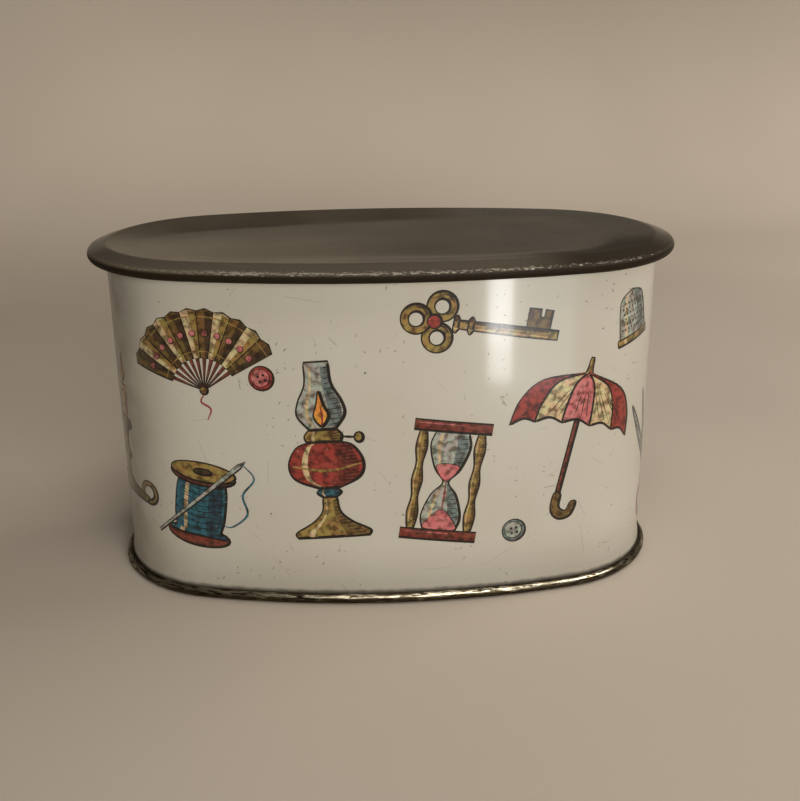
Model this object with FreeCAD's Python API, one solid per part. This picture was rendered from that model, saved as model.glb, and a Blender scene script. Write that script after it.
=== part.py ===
import FreeCAD, Part
import math
import os

# Oval tinplate box with an overhanging, dished lid.  Millimetres, +Z up, front towards -Y.
# The origin is the centre of the footprint, on the surface that the box stands on.  +X runs along the length.
# Each piece is one bent or pressed sheet.  Its section is drawn along the middle of the sheet as straight
# runs and creases, in (out, z), where out is the distance outward from the outside of the wall, square to the
# oval.  The section is then carried round the oval, which is made of four arcs that meet smoothly.

# Box: plan of the wall's outside, height of the mouth and thickness of the tinplate
body_length = 144.0
body_width = 72.0
end_radius = 31.0
mouth_height = 89.0
sheet = 0.3

# Mouth: edge of the wall folded flat against its inside
hem_depth = 4.0
hem_gap = 0.1

# Foot of the wall: outward flare that ends a little above the base seam
flare_height = 4.0
flare_out = 0.6
flare_above_seam = 0.4

# Upright side seam at the middle of the back: locked in the middle, lapped at both ends
side_seam_width = 5.0
lock_layers = 3
lap_layers = 1
lap_length = 9.0
side_seam_end_gap = 0.8
side_seam_line_width = 0.3
side_seam_line_depth = 0.2

# Base: countersunk panel, and the double seam that folds the panel's edge round the wall's hook as a bead
base_seam_height = 2.7
base_seam_gap = 0.1
bead_slack = 0.4
bead_bevel = 0.5
countersink_depth = 2.4

# Lid: overhang past the wall, curled rim, shoulder and dish
lid_overhang = 4.7
rim_drop = 4.15
rim_curl_radius = 1.55
rim_curl_turn = 270.0
rim_curl_steps = 6
shoulder_radius = 3.0
shoulder_steps = 1
dish_slope = 7.0
dish_width = 13.0
lid_seat_gap = 0.2

# Collar under the lid that plugs the mouth
collar_depth = 9.0
collar_clearance = 0.3
collar_flange = 4.0
solder_gap = 0.1

# Oval of the wall's outside: end arcs of end_radius, side arcs of side_radius, tangent at join_angle
half_length = body_length / 2
half_width = body_width / 2
end_centre = half_length - end_radius
side_radius = (end_centre**2 + half_width**2 - end_radius**2) / (2 * (half_width - end_radius))
side_centre = side_radius - half_width
join_angle = math.degrees(math.atan2(side_centre, end_centre))

# Each arc: centre x, centre y, radius, start angle, sweep
OVAL_ARCS = [
    (end_centre, 0, end_radius, -join_angle, 2 * join_angle),
    (0, -side_centre, side_radius, join_angle, 180 - 2 * join_angle),
    (-end_centre, 0, end_radius, 180 - join_angle, 2 * join_angle),
    (0, side_centre, side_radius, 180 + join_angle, 180 - 2 * join_angle),
]

ORIGIN = FreeCAD.Vector(0, 0, 0)
UP = FreeCAD.Vector(0, 0, 1)


def along(point, heading, distance):
    """Point at a distance from another in the (out, z) plane.  Heading 0 is outward, 90 is up."""
    angle = math.radians(heading)
    return (point[0] + distance * math.cos(angle), point[1] + distance * math.sin(angle))


class Section:
    """Section of a folded sheet, drawn along its middle as straight runs between creases."""

    def __init__(self, out, z, heading):
        self.corners = [(out, z)]
        self.headings = [heading]
        self.heading = heading

    def run(self, length):
        self.corners.append(along(self.corners[-1], self.heading, length))
        self.headings.append(self.heading)

    def run_to(self, out=None, z=None):
        """Straight run that ends at the given out or z."""
        last_out, last_z = self.corners[-1]
        angle = math.radians(self.heading)
        if z is None:
            self.run((out - last_out) / math.cos(angle))
        else:
            self.run((z - last_z) / math.sin(angle))

    def crease(self, turn):
        """Fold by turn degrees, to the left if turn is positive."""
        self.heading += turn

    def roll(self, radius, turn, steps):
        """Round bend of the sheet's middle, made of equal straight steps."""
        step_turn = turn / steps
        chord = 2 * radius * math.sin(math.radians(abs(step_turn)) / 2)
        for _ in range(steps):
            self.crease(step_turn / 2)
            self.run(chord)
            self.crease(step_turn / 2)

    def faces(self):
        """Corners of the sheet's left face and of its right face, mitred at each crease."""
        left = []
        right = []
        for i, corner in enumerate(self.corners):
            before = self.headings[i]
            after = self.headings[min(i + 1, len(self.headings) - 1)]
            reach = sheet / 2 / math.cos(math.radians(after - before) / 2)
            left.append(along(corner, (before + after) / 2 + 90, reach))
            right.append(along(corner, (before + after) / 2 - 90, reach))
        return left, right


def carried_round(corners):
    """Faces that a section's open line of corners leaves when it is carried round the oval."""
    faces = []
    for centre_x, centre_y, radius, start, sweep in OVAL_ARCS:
        points = [FreeCAD.Vector(radius + out, 0, z) for out, z in corners]
        surface = Part.makePolygon(points).revolve(ORIGIN, UP, sweep)
        surface.rotate(ORIGIN, UP, start)
        surface.translate(FreeCAD.Vector(centre_x, centre_y, 0))
        faces += surface.Faces
    return faces


def oval_face(out, z):
    """Flat oval face at height z, with its edge at the given distance out from the wall."""
    edges = []
    for centre_x, centre_y, radius, start, sweep in OVAL_ARCS:
        circle = Part.Circle(FreeCAD.Vector(centre_x, centre_y, z), UP, radius + out)
        edges.append(Part.Arc(circle, math.radians(start), math.radians(start + sweep)).toShape())
    return Part.Face(Part.Wire(edges))


def sewn_solid(faces):
    """Closed solid sewn from faces that meet edge to edge."""
    shell = Part.Shell(faces)
    shell.sewShape()
    solid = Part.Solid(Part.Shell(shell.Faces))
    if solid.Volume < 0:
        solid.reverse()
    return solid


def band(section):
    """Sheet that runs round the oval with two free edges."""
    left, right = section.faces()
    return sewn_solid(carried_round(left + right[::-1] + left[:1]))


def plate(section):
    """Sheet that closes the oval: its section starts at the edge of a flat middle and ends at a free edge."""
    left, right = section.faces()
    middle = [oval_face(*left[0]), oval_face(*right[0])]
    return sewn_solid(carried_round(left + right[::-1]) + middle)


# Places that two pieces share
hem_thickness = 2 * sheet + hem_gap
hem_pitch = sheet + hem_gap
hem_top = mouth_height - sheet / 2
hem_lower_edge = mouth_height - hem_depth
wall_middle = -sheet / 2
flared_middle = wall_middle + flare_out
flare_bottom = max(base_seam_height, countersink_depth + sheet) + flare_above_seam
flare_top = flare_bottom + flare_height
hook_pitch = sheet + base_seam_gap
foot_middle = sheet / 2
cover_hook_middle = flared_middle + hook_pitch
body_hook_middle = cover_hook_middle + hook_pitch
body_hook_floor = foot_middle + hook_pitch
seam_roof = base_seam_height - sheet / 2
body_hook_tip = seam_roof - sheet / 2 - base_seam_gap
cover_hook_tip = body_hook_floor + sheet / 2 + base_seam_gap


def seam_block(inner_out, outer_out, bottom, top, width):
    """Upright block at the middle of the back that follows the curve of the wall."""
    sweep = math.degrees(width / side_radius)
    corners = [(inner_out, bottom), (outer_out, bottom), (outer_out, top), (inner_out, top)]
    points = [FreeCAD.Vector(side_radius + out, 0, z) for out, z in corners]
    block = Part.Face(Part.makePolygon(points + points[:1])).revolve(ORIGIN, UP, sweep)
    block.rotate(ORIGIN, UP, 90 - sweep / 2)
    block.translate(FreeCAD.Vector(0, -side_centre, 0))
    return block


def with_side_seam(wall):
    """Wall with the layers of its side seam inside and the line where they meet outside."""
    bottom = flare_top + side_seam_end_gap
    top = hem_lower_edge - side_seam_end_gap
    lap_inside = -sheet * (1 + lap_layers)
    lock_inside = -sheet * (1 + lock_layers)
    lap = seam_block(lap_inside, wall_middle, bottom, top, side_seam_width)
    lock = seam_block(lock_inside, wall_middle, bottom + lap_length, top - lap_length, side_seam_width)
    line = seam_block(-side_seam_line_depth, sheet, bottom, top, side_seam_line_width)
    return wall.fuse([lap, lock]).cut(line).removeSplitter()


def body_wall():
    """Wall from the free edge of the hem, over the mouth and down to the tip of the hook in the base seam."""
    flare_turn = math.degrees(math.atan2(flare_out, flare_height))
    section = Section(wall_middle - hem_pitch, hem_lower_edge, 90)
    section.run_to(z=hem_top)
    section.crease(-90)
    section.run_to(out=wall_middle)
    section.crease(-90)
    section.run_to(z=flare_top)
    section.crease(flare_turn)
    section.run_to(z=flare_bottom)
    section.crease(-flare_turn)
    section.run_to(z=body_hook_floor)
    section.crease(90)
    section.run_to(out=body_hook_middle)
    section.crease(90)
    section.run_to(z=body_hook_tip)
    return with_side_seam(band(section))


def base_panel():
    """Panel from its flat middle, down the countersink, along the foot and round the wall's hook."""
    chuck_middle = flared_middle - hook_pitch
    bead_middle = body_hook_middle + hook_pitch + bead_slack
    section = Section(chuck_middle, countersink_depth + sheet / 2, 0)
    section.crease(-90)
    section.run_to(z=foot_middle)
    section.crease(90)
    section.run_to(out=bead_middle - bead_bevel)
    section.crease(45)
    section.run_to(out=bead_middle)
    section.crease(45)
    section.run_to(z=seam_roof - bead_bevel)
    section.crease(45)
    section.run_to(z=seam_roof)
    section.crease(45)
    section.run_to(out=cover_hook_middle)
    section.crease(90)
    section.run_to(z=cover_hook_tip)
    return plate(section)


# Lid: the crest of its shoulder stands over the hem, and a cone inside the crest carries the collar's flange
crest_out = -hem_thickness / 2
crest_middle = mouth_height + lid_seat_gap + sheet / 2
slope = math.radians(dish_slope)
cone_top_out = crest_out - shoulder_radius * math.sin(slope)
cone_top_z = crest_middle - shoulder_radius * (1 - math.cos(slope))
collar_middle = -hem_thickness - collar_clearance - sheet / 2
flange_inner_out = collar_middle - collar_flange
cone_bottom_out = crest_out - dish_width


def cone_height(out):
    """Height of the middle of the cover on its cone."""
    return cone_top_z - (cone_top_out - out) * math.tan(slope)


def lid_cover():
    """Cover from its flat middle, up the dish, over the shoulder and round the curled rim."""
    curl = rim_curl_radius - sheet / 2
    curl_out = lid_overhang - rim_curl_radius
    curl_z = crest_middle + sheet / 2 - rim_drop + rim_curl_radius
    shoulder_z = crest_middle - shoulder_radius
    fall = math.atan2(shoulder_z - curl_z, curl_out - crest_out)
    reach = math.hypot(shoulder_z - curl_z, curl_out - crest_out)
    tilt = math.asin((shoulder_radius - curl) / reach)
    section = Section(cone_bottom_out, cone_height(cone_bottom_out), 0)
    section.crease(dish_slope)
    section.run_to(out=cone_top_out)
    section.roll(shoulder_radius, -dish_slope - math.degrees(fall + tilt), shoulder_steps)
    section.run(reach * math.cos(tilt))
    section.roll(curl, -rim_curl_turn, rim_curl_steps)
    return plate(section)


def lid_collar():
    """Collar from the inner edge of its flange, under the cover's cone, down to its lower edge."""
    flange_drop = (sheet + solder_gap) / math.cos(slope)
    section = Section(flange_inner_out, cone_height(flange_inner_out) - flange_drop, dish_slope)
    section.run_to(out=collar_middle)
    section.crease(-90 - dish_slope)
    section.run_to(z=mouth_height - collar_depth)
    return band(section)


os.makedirs("parts", exist_ok=True)
for piece in (body_wall, base_panel, lid_cover, lid_collar):
    piece().exportStep(f"parts/{piece.__name__}.step")
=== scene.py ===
import math
import bmesh
import bpy
import numpy as np
from mathutils import Matrix, Vector
from mathutils.geometry import delaunay_2d_cdt


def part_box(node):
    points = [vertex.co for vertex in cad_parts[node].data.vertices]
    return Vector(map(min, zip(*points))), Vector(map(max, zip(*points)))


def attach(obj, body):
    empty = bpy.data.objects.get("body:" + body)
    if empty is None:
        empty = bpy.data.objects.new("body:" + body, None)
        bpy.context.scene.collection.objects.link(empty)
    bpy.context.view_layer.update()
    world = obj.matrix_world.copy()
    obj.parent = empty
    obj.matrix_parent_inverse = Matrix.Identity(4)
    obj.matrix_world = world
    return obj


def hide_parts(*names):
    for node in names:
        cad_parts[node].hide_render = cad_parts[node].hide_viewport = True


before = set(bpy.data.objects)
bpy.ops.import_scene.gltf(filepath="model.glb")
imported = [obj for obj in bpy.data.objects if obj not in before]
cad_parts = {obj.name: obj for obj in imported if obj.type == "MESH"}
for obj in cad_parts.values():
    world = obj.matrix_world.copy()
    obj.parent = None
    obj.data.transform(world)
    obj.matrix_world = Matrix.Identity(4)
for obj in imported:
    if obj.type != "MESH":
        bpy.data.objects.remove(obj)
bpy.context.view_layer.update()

# Sizes in millimetres, in the frame's axes: +Z up, front towards -Y.  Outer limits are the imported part's.
MM = 0.001
wall_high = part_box("body_wall")[1] / MM
base_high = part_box("base_panel")[1] / MM
lid_low, lid_high = (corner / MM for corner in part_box("lid_cover"))
collar_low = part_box("lid_collar")[0] / MM

SHEET = 0.3
BOX_MARGIN = 0.01
STATION_STEP = 1.5

# Wall: oval ends, hook in the base seam, hem at the mouth, flare at the foot
END_RADIUS = 31.0
HOOK_REACH = 1.4
HEM_DEPTH = 4.0
HEM_GAP = 0.1
FLARE_OUT = 0.6
FLARE_TOP = 7.1
FLARE_BOTTOM = 3.1
FLARE_BEND = 9.0
WALL_FOOT = 0.6

# Side seam at the middle of the back
SEAM_LINE_WIDTH = 0.3
SEAM_LINE_DEPTH = 0.2
SEAM_WIDTH = 5.0
SEAM_END_GAP = 0.8
LAP_LENGTH = 9.0
LAP_LAYERS = 1
LOCK_LAYERS = 3

# Base: panel, its countersink and the bead of the base seam
PANEL_HEIGHT = 2.4
PANEL_BEND = 0.5
PANEL_GAP = 0.05

# Lid: curled rim, shoulder, dish and the collar below
CURL_RADIUS = 1.53
CURL_TURN = 270.0
SHOULDER_RADIUS = 3.0
DISH_SLOPE = 7.0
DISH_RUN = 7.5
DISH_BEND = 60.0
COLLAR_CLEARANCE = 0.3
COLLAR_FLANGE = 4.0
COLLAR_BEND = 0.6
SOLDER_GAP = 0.1
TWIST = 0.0009
TWIST_FROM = -1.4
TWIST_FULL = -16.0

# Oval of the wall's outside: two end arcs and two side arcs, tangent to each other
half_length = wall_high.x - HOOK_REACH
half_width = wall_high.y - HOOK_REACH
mouth = wall_high.z
end_centre = half_length - END_RADIUS
side_radius = (end_centre**2 + half_width**2 - END_RADIUS**2) / (2 * (half_width - END_RADIUS))
side_centre = side_radius - half_width
side_angle = math.atan2(end_centre, side_centre)
side_half = side_radius * side_angle
end_length = END_RADIUS * (math.pi - 2 * side_angle)
half_round = 2 * side_half + end_length


def oval(s):
    """Point on the wall's outside and its outward direction, s to the right of the front's middle."""
    along = abs(s)
    if along < side_half:
        angle = along / side_radius
        centre, radius = Vector((0, side_centre)), side_radius
    elif along < side_half + end_length:
        angle = side_angle + (along - side_half) / END_RADIUS
        centre, radius = Vector((end_centre, 0)), END_RADIUS
    else:
        angle = math.pi - side_angle + (along - side_half - end_length) / side_radius
        centre, radius = Vector((0, -side_centre)), side_radius
    outward = Vector((math.sin(angle), -math.cos(angle)))
    point = centre + radius * outward
    mirror = -1 if s < 0 else 1
    return Vector((mirror * point.x, point.y)), Vector((mirror * outward.x, outward.y))


def on_wall(s, out, z):
    """Point of the frame that lies out from the wall's outside at s, at height z."""
    point, outward = oval(s)
    return (*(point + out * outward), z)


# Stations round the oval, from one edge of the side seam's line at the back to the other
seam_edge = half_round - SEAM_LINE_WIDTH / 2
STATIONS = np.linspace(-seam_edge, seam_edge, round(2 * seam_edge / STATION_STEP) + 1)


class SheetLine:
    """Middle of a bent sheet's section in (out, z), with its heading in degrees: 0 is outward, 90 is up."""

    def __init__(self, out, z, heading):
        self.points = [(out, z, heading)]

    def run(self, length):
        out, z, heading = self.points[-1]
        angle = math.radians(heading)
        self.points.append((out + length * math.cos(angle), z + length * math.sin(angle), heading))

    def turn(self, radius, degrees, steps):
        """Round bend, to the left if degrees is positive."""
        out, z, heading = self.points[-1]
        side = math.copysign(90, degrees)
        angle = math.radians(heading + side)
        centre_out = out + radius * math.cos(angle)
        centre_z = z + radius * math.sin(angle)
        for step in range(1, steps + 1):
            now = heading + degrees * step / steps
            angle = math.radians(now - side)
            out = centre_out + radius * math.cos(angle)
            z = centre_z + radius * math.sin(angle)
            self.points.append((out, z, now))

    def led_by(self, other):
        """Puts another line, drawn from the same start the other way, before this one."""
        led = [(out, z, heading - 180) for out, z, heading in reversed(other.points[1:])]
        self.points = led + self.points

    def faces(self):
        """The sheet's left face and right face as lists of (out, z)."""
        left = []
        right = []
        for out, z, heading in self.points:
            square = math.radians(heading + 90)
            reach_out = math.cos(square) * SHEET / 2
            reach_z = math.sin(square) * SHEET / 2
            left.append((out + reach_out, z + reach_z))
            right.append((out - reach_out, z - reach_z))
        return left, right


def map_u(s):
    """Place round the oval on the texture map, from 0 to 1."""
    return (s + seam_edge) / (2 * half_round)


STATION_U = map_u(np.append(STATIONS, 2 * half_round - seam_edge))
DISC_SHARES = (0.8, 0.6, 0.4, 0.2, 0.05)


class Shell:
    """Closed mesh in millimetres.  Each vertex also has its unrolled place: s, out and z.

    The texture map runs round the oval along u and, in millimetres, along the section along v."""

    def __init__(self):
        self.vertices = []
        self.unrolled = []
        self.faces = []
        self.slots = []
        self.inks = []
        self.maps = []
        self.v = 0.0

    def add(self, points, unrolled):
        start = len(self.vertices)
        self.vertices.extend(points)
        self.unrolled.extend(unrolled)
        return list(range(start, len(self.vertices)))

    def face(self, corners, slot, places, ink="bare"):
        self.faces.append(corners)
        self.slots.append(slot)
        self.maps.append(places)
        self.inks.append(INKS[ink])

    def ring(self, out, z):
        unrolled = [(s, out, z) for s in STATIONS]
        return self.add([on_wall(*place) for place in unrolled], unrolled)

    def disc(self, ring):
        """Smaller copies of a ring, the smallest one first."""
        x, y, z = np.array([self.vertices[v] for v in ring]).T
        unrolled = [self.unrolled[v] for v in ring]
        return [self.add(zip(x * share, y * share, z), unrolled) for share in reversed(DISC_SHARES)]

    def advance(self, vertex, other):
        """Moves on along the texture map by the distance between two vertices, and returns both places."""
        start = self.v
        self.v += (Vector(self.vertices[vertex]) - Vector(self.vertices[other])).length
        return start, self.v

    def between(self, ring, following, slot):
        """Quads from one ring round the oval to the next."""
        middle = len(ring) // 2
        v, next_v = self.advance(ring[middle], following[middle])
        for i in range(len(ring)):
            j = (i + 1) % len(ring)
            u, next_u = STATION_U[i], STATION_U[i + 1]
            corners = (ring[i], ring[j], following[j], following[i])
            self.face(corners, slot, [(u, v), (next_u, v), (next_u, next_v), (u, next_v)])

    def sheet(self, rings, slot):
        for ring, following in zip(rings, rings[1:]):
            self.between(ring, following, slot)

    def hub(self, ring, slot, first):
        """Triangles from a small ring to the point in its middle, before the sheet or after it."""
        height = self.vertices[ring[0]][2]
        (centre,) = self.add([(0, 0, height)], [self.unrolled[ring[0]]])
        v, next_v = self.advance(ring[0], centre)
        hub_v, ring_v = (v, next_v) if first else (next_v, v)
        for i in range(len(ring)):
            u, next_u = STATION_U[i], STATION_U[i + 1]
            corners = (ring[i], ring[(i + 1) % len(ring)], centre)
            self.face(corners, slot, [(u, ring_v), (next_u, ring_v), ((u + next_u) / 2, hub_v)])


def band(line, left_slot, right_slot):
    """Sheet that runs round the oval with two free edges."""
    shell = Shell()
    left, right = line.faces()
    left_rings = [shell.ring(*point) for point in left]
    right_rings = [shell.ring(*point) for point in reversed(right)]
    shell.sheet(left_rings, left_slot)
    shell.sheet(left_rings[-1:] + right_rings + left_rings[:1], right_slot)
    return shell


def plate(line, left_slot, right_slot):
    """Sheet that closes the oval: its line starts at the edge of a flat middle and ends at a free edge."""
    shell = Shell()
    left, right = line.faces()
    left_rings = [shell.ring(*point) for point in left]
    right_rings = [shell.ring(*point) for point in right]
    left_rings = shell.disc(left_rings[0]) + left_rings
    right_rings = shell.disc(right_rings[0]) + right_rings
    shell.hub(left_rings[0], left_slot, first=True)
    shell.sheet(left_rings, left_slot)
    shell.sheet(left_rings[-1:] + right_rings[::-1], right_slot)
    shell.hub(right_rings[0], right_slot, first=False)
    return shell


SHARP_EDGE = math.radians(35)
MAP_NAME = "OFBake"


def write_attribute(mesh, name, kind, domain, field, values):
    layer = mesh.attributes.new(name, kind, domain)
    layer.data.foreach_set(field, np.asarray(values, np.float32).ravel())


def new_piece(name, shell, materials, wear_and_highlight=None, normals=None):
    """Object in metres from a shell, smooth but for its sharp edges."""
    mesh = bpy.data.meshes.new(name)
    mesh.from_pydata([Vector(v) * MM for v in shell.vertices], [], shell.faces)
    for material in materials:
        mesh.materials.append(material)
    mesh.polygons.foreach_set("material_index", shell.slots)
    places = np.array([place for face in shell.maps for place in face])
    places[:, 1] /= shell.v
    mesh.uv_layers.new(name=MAP_NAME).data.foreach_set("uv", places.astype(np.float32).ravel())
    unrolled = [(s, z, out) for s, out, z in shell.unrolled]
    write_attribute(mesh, "unrolled", "FLOAT_VECTOR", "POINT", "vector", unrolled)
    corner_inks = np.repeat(shell.inks, [len(face) for face in shell.faces], axis=0)
    write_attribute(mesh, "ink", "FLOAT_COLOR", "CORNER", "color", corner_inks)
    if wear_and_highlight:
        write_attribute(mesh, "wear_and_highlight", "FLOAT", "POINT", "value", [wear_and_highlight(*place) for place in shell.unrolled])
    edited = bmesh.new()
    edited.from_mesh(mesh)
    bmesh.ops.recalc_face_normals(edited, faces=edited.faces)
    edited.to_mesh(mesh)
    edited.free()
    mesh.shade_smooth()
    mesh.set_sharp_from_angle(angle=SHARP_EDGE)
    if normals is not None:
        mesh.normals_split_custom_set_from_vertices(normals)
    piece = bpy.data.objects.new(name, mesh)
    bpy.context.scene.collection.objects.link(piece)
    return piece


def colour(red, green, blue):
    """Linear colour from one given as it looks on a screen, 0 to 255."""
    screen = np.array([red, green, blue]) / 255
    linear = np.where(screen <= 0.04045, screen / 12.92, ((screen + 0.055) / 1.055) ** 2.4)
    return (*linear, 1.0)


# Inks of the print.  Bare leaves the enamel's own ground.
INKS = {
    "black": colour(26, 21, 16),
    "gold": colour(140, 118, 66),
    "bronze": colour(104, 82, 44),
    "umber": colour(66, 50, 33),
    "brick": colour(138, 53, 46),
    "rust": colour(104, 42, 34),
    "mahogany": colour(112, 55, 42),
    "teal": colour(40, 94, 114),
    "navy": colour(32, 66, 84),
    "slate": colour(100, 112, 116),
    "silver": colour(152, 158, 154),
    "pink": colour(184, 108, 112),
    "cream": colour(190, 174, 138),
    "flame": colour(204, 142, 62),
    "bare": (0.0, 0.0, 0.0, 0.0),
}
SHADE_SIDE = np.array([0.8, -0.6])
LINE = 0.66
SPLINE_STEPS = 5


def spline(points, closed=False, steps=SPLINE_STEPS):
    """Smooth line through points of the plane."""
    through = np.array(points, float)
    if closed:
        through = np.vstack([through[-1:], through, through[:2]])
    else:
        through = np.vstack([2 * through[0] - through[1], through, 2 * through[-1] - through[-2]])
    t = np.linspace(0, 1, steps, endpoint=False)[:, None]
    spans = []
    for a, b, c, d in zip(through, through[1:], through[2:], through[3:]):
        bend = (2 * a - 5 * b + 4 * c - d) * t**2 + (3 * b - a - 3 * c + d) * t**3
        spans.append(b + 0.5 * ((c - a) * t + bend))
    return np.vstack(spans if closed else spans + [through[-2:-1]])


def ellipse(x, y, across, up, steps=24):
    angle = np.linspace(0, 2 * math.pi, steps, endpoint=False)
    return np.column_stack([x + across * np.cos(angle), y + up * np.sin(angle)])


def oblong(left, low, right, high):
    return np.array([(left, low), (right, low), (right, high), (left, high)], float)


def squares(line, closed):
    """Unit vectors square to a line, to its right."""
    if closed:
        ahead = np.roll(line, -1, 0) - np.roll(line, 1, 0)
    else:
        ahead = np.gradient(line, axis=0)
    length = np.maximum(np.hypot(*ahead.T), 1e-9)
    return np.column_stack([ahead[:, 1], -ahead[:, 0]]) / length[:, None]


class Sketch:
    """Drawing in millimetres: closed outlines, each with an ink, the last one on top."""

    def __init__(self):
        self.shapes = []

    def fill(self, outline, ink):
        self.shapes.append((outline, ink))

    def area(self, outline, ink, line=LINE):
        """Ink inside a black line that is heavier on the lower right."""
        x, y = outline.T
        if np.sum(x * np.roll(y, -1) - y * np.roll(x, -1)) < 0:
            outline = outline[::-1]
        outward = squares(outline, closed=True)
        weight = line * (0.5 + 0.4 * outward @ SHADE_SIDE)
        self.fill(outline + outward * line / 2, "black")
        self.fill(outline - outward * weight[:, None], ink)

    def line(self, points, width=LINE, ink="black", steps=SPLINE_STEPS):
        """Pen stroke that thins out towards its ends."""
        path = spline(points, steps=steps)
        half = width * (0.2 + 0.3 * np.sin(np.linspace(0, math.pi, len(path))))
        reach = squares(path, closed=False) * half[:, None]
        self.fill(np.vstack([path + reach, (path - reach)[::-1]]), ink)

    def ring(self, x, y, across, up, hole, ink):
        self.area(ellipse(x, y, across, up), ink)
        self.area(ellipse(x, y, across * hole, up * hole), "bare")

    def turned(self, profile, ink, shade, x=0.0, hatch=0.9):
        """Turned form from (half width, height) pairs, shaded and hatched on the right."""
        width, height = spline(profile).T

        def side(share):
            return np.column_stack([x + share * width, height])

        self.area(np.vstack([side(1), side(-1)[::-1]]), ink)
        self.fill(np.vstack([side(0.3)[1:-1], side(0.86)[1:-1][::-1]]), shade)
        self.fill(np.vstack([side(-0.66)[1:-1], side(-0.5)[1:-1][::-1]]), "cream")
        for level in np.arange(height[0] + hatch, height[-1] - hatch / 2, hatch):
            reach = np.interp(level, height, width)
            self.line([(x + 0.42 * reach, level), (x + 0.92 * reach, level + 0.2 * hatch)], 0.24, steps=2)


def flame(art, low):
    edge = np.array([(0, 0), (1.9, 2.6), (0.9, 5.6), (0, 9), (-0.9, 5.6), (-1.8, 2.6)]) + (0, low)
    art.area(spline(edge, True), "flame")
    art.line([(0, low + 0.4), (0.2, low + 3), (0, low + 5)], 0.6, "brick")


def lamp():
    art = Sketch()
    art.turned([(9, -23), (9.2, -21.5), (5, -19), (2.2, -16), (1.7, -12)], "gold", "bronze")
    art.turned([(1.7, -12), (3, -10.8), (1.8, -9.6)], "teal", "navy")
    art.turned([(2.5, -9.6), (8, -7), (9.2, -3), (7, 1.2), (3.6, 2.6)], "brick", "rust")
    art.line([(-8.6, -3.4), (0, -5), (8.6, -3.4)], 0.7, "gold")
    art.turned([(4.2, 2.6), (4.6, 4.2), (3.4, 5.8)], "gold", "bronze", hatch=0.7)
    art.turned([(3.2, 5.8), (5.8, 9.5), (5.3, 13), (3.2, 17.5), (2.9, 23)], "silver", "slate", hatch=1.3)
    flame(art, 6.6)
    art.line([(4.4, 3.8), (8, 3.4)], 0.7)
    art.area(ellipse(8.6, 3.3, 1.1, 1.3, 12), "gold")
    return art


def hourglass():
    art = Sketch()
    glass = [(4.6, -15), (5.6, -10.5), (3.6, -4), (0.7, 0), (3.6, 4), (5.6, 10.5), (4.6, 15)]
    post = [(0.9, -15), (1.5, -10), (0.8, -5), (1.4, 0), (0.8, 5), (1.5, 10), (0.9, 15)]
    art.turned(glass, "silver", "slate", hatch=1.4)
    heap = [(-4.4, -14.6), (4.4, -14.6), (3.4, -11.4), (0, -8.4), (-3.4, -11.4)]
    rest = [(0, 0.2), (3.4, 4.6), (0, 5.6), (-3.4, 4.6)]
    for sand in (heap, rest):
        art.area(spline(sand, True), "pink", 0.3)
    art.line([(0, 0.5), (0.1, -4), (0, -8.6)], 0.5, "brick")
    for x in (-8.2, 8.2):
        art.turned(post, "gold", "bronze", x)
    for low in (-18, 15):
        art.area(oblong(-11, low, 11, low + 3), "mahogany")
        art.fill(oblong(-10.6, low + 0.4, 10.6, low + 1.3), "rust")
        art.line([(-10, low + 2.2), (3, low + 2.2)], 0.4, "pink")
    return art


def key():
    art = Sketch()
    bit = [(1.2, -21), (7.6, -21), (7.6, -18.6), (5.2, -18.6)]
    bit += [(5.2, -17.2), (7.6, -17.2), (7.6, -13.4), (1.2, -13.4)]
    art.area(np.array(bit), "bronze")
    art.turned([(1.5, -24), (1.5, -8), (1.3, 9)], "gold", "umber", hatch=1.6)
    for low in (3, 7.6):
        art.turned([(1.8, low), (2.7, low + 0.8), (1.8, low + 1.6)], "gold", "bronze", hatch=0.6)
    for x, y in ((-4.9, 13.4), (4.9, 13.4), (0, 20.6)):
        art.ring(x, y, 4.7, 4.7, 0.5, "gold")
        art.line([(x + 1.6, y - 3.4), (x + 3.4, y - 1.6), (x + 3.8, y + 0.6)], 0.7, "umber")
    art.area(ellipse(0, 15, 2.2, 2.2, 14), "brick")
    return art


def scissors():
    art = Sketch()
    for side in (-1, 1):
        blade = np.array([(-2.2, -5), (1.2, -3), (4.6, 11), (5, 27), (1.2, 11)]) * (side, 1)
        art.area(spline(blade, True), "slate")
        edge = np.array([(0.2, -1), (2.6, 11), (4.7, 25)]) * (side, 1)
        art.line(edge, 0.8, "silver")
        shank = np.array([(2, -2), (-1, -6), (-5, -11), (-6.4, -14), (-3.4, -13), (-0.4, -8)]) * (side, 1)
        art.area(spline(shank, True), "gold")
        art.ring(-side * 7, -19.5, 5.6, 7.4, 0.62, "brick")
        art.line([(-side * 7 + 3.4, -24.6), (-side * 7 + 5, -20), (-side * 7 + 4, -15)], 0.7, "rust")
    art.area(ellipse(0, -1.6, 1.6, 1.6, 14), "gold")
    return art


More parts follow.
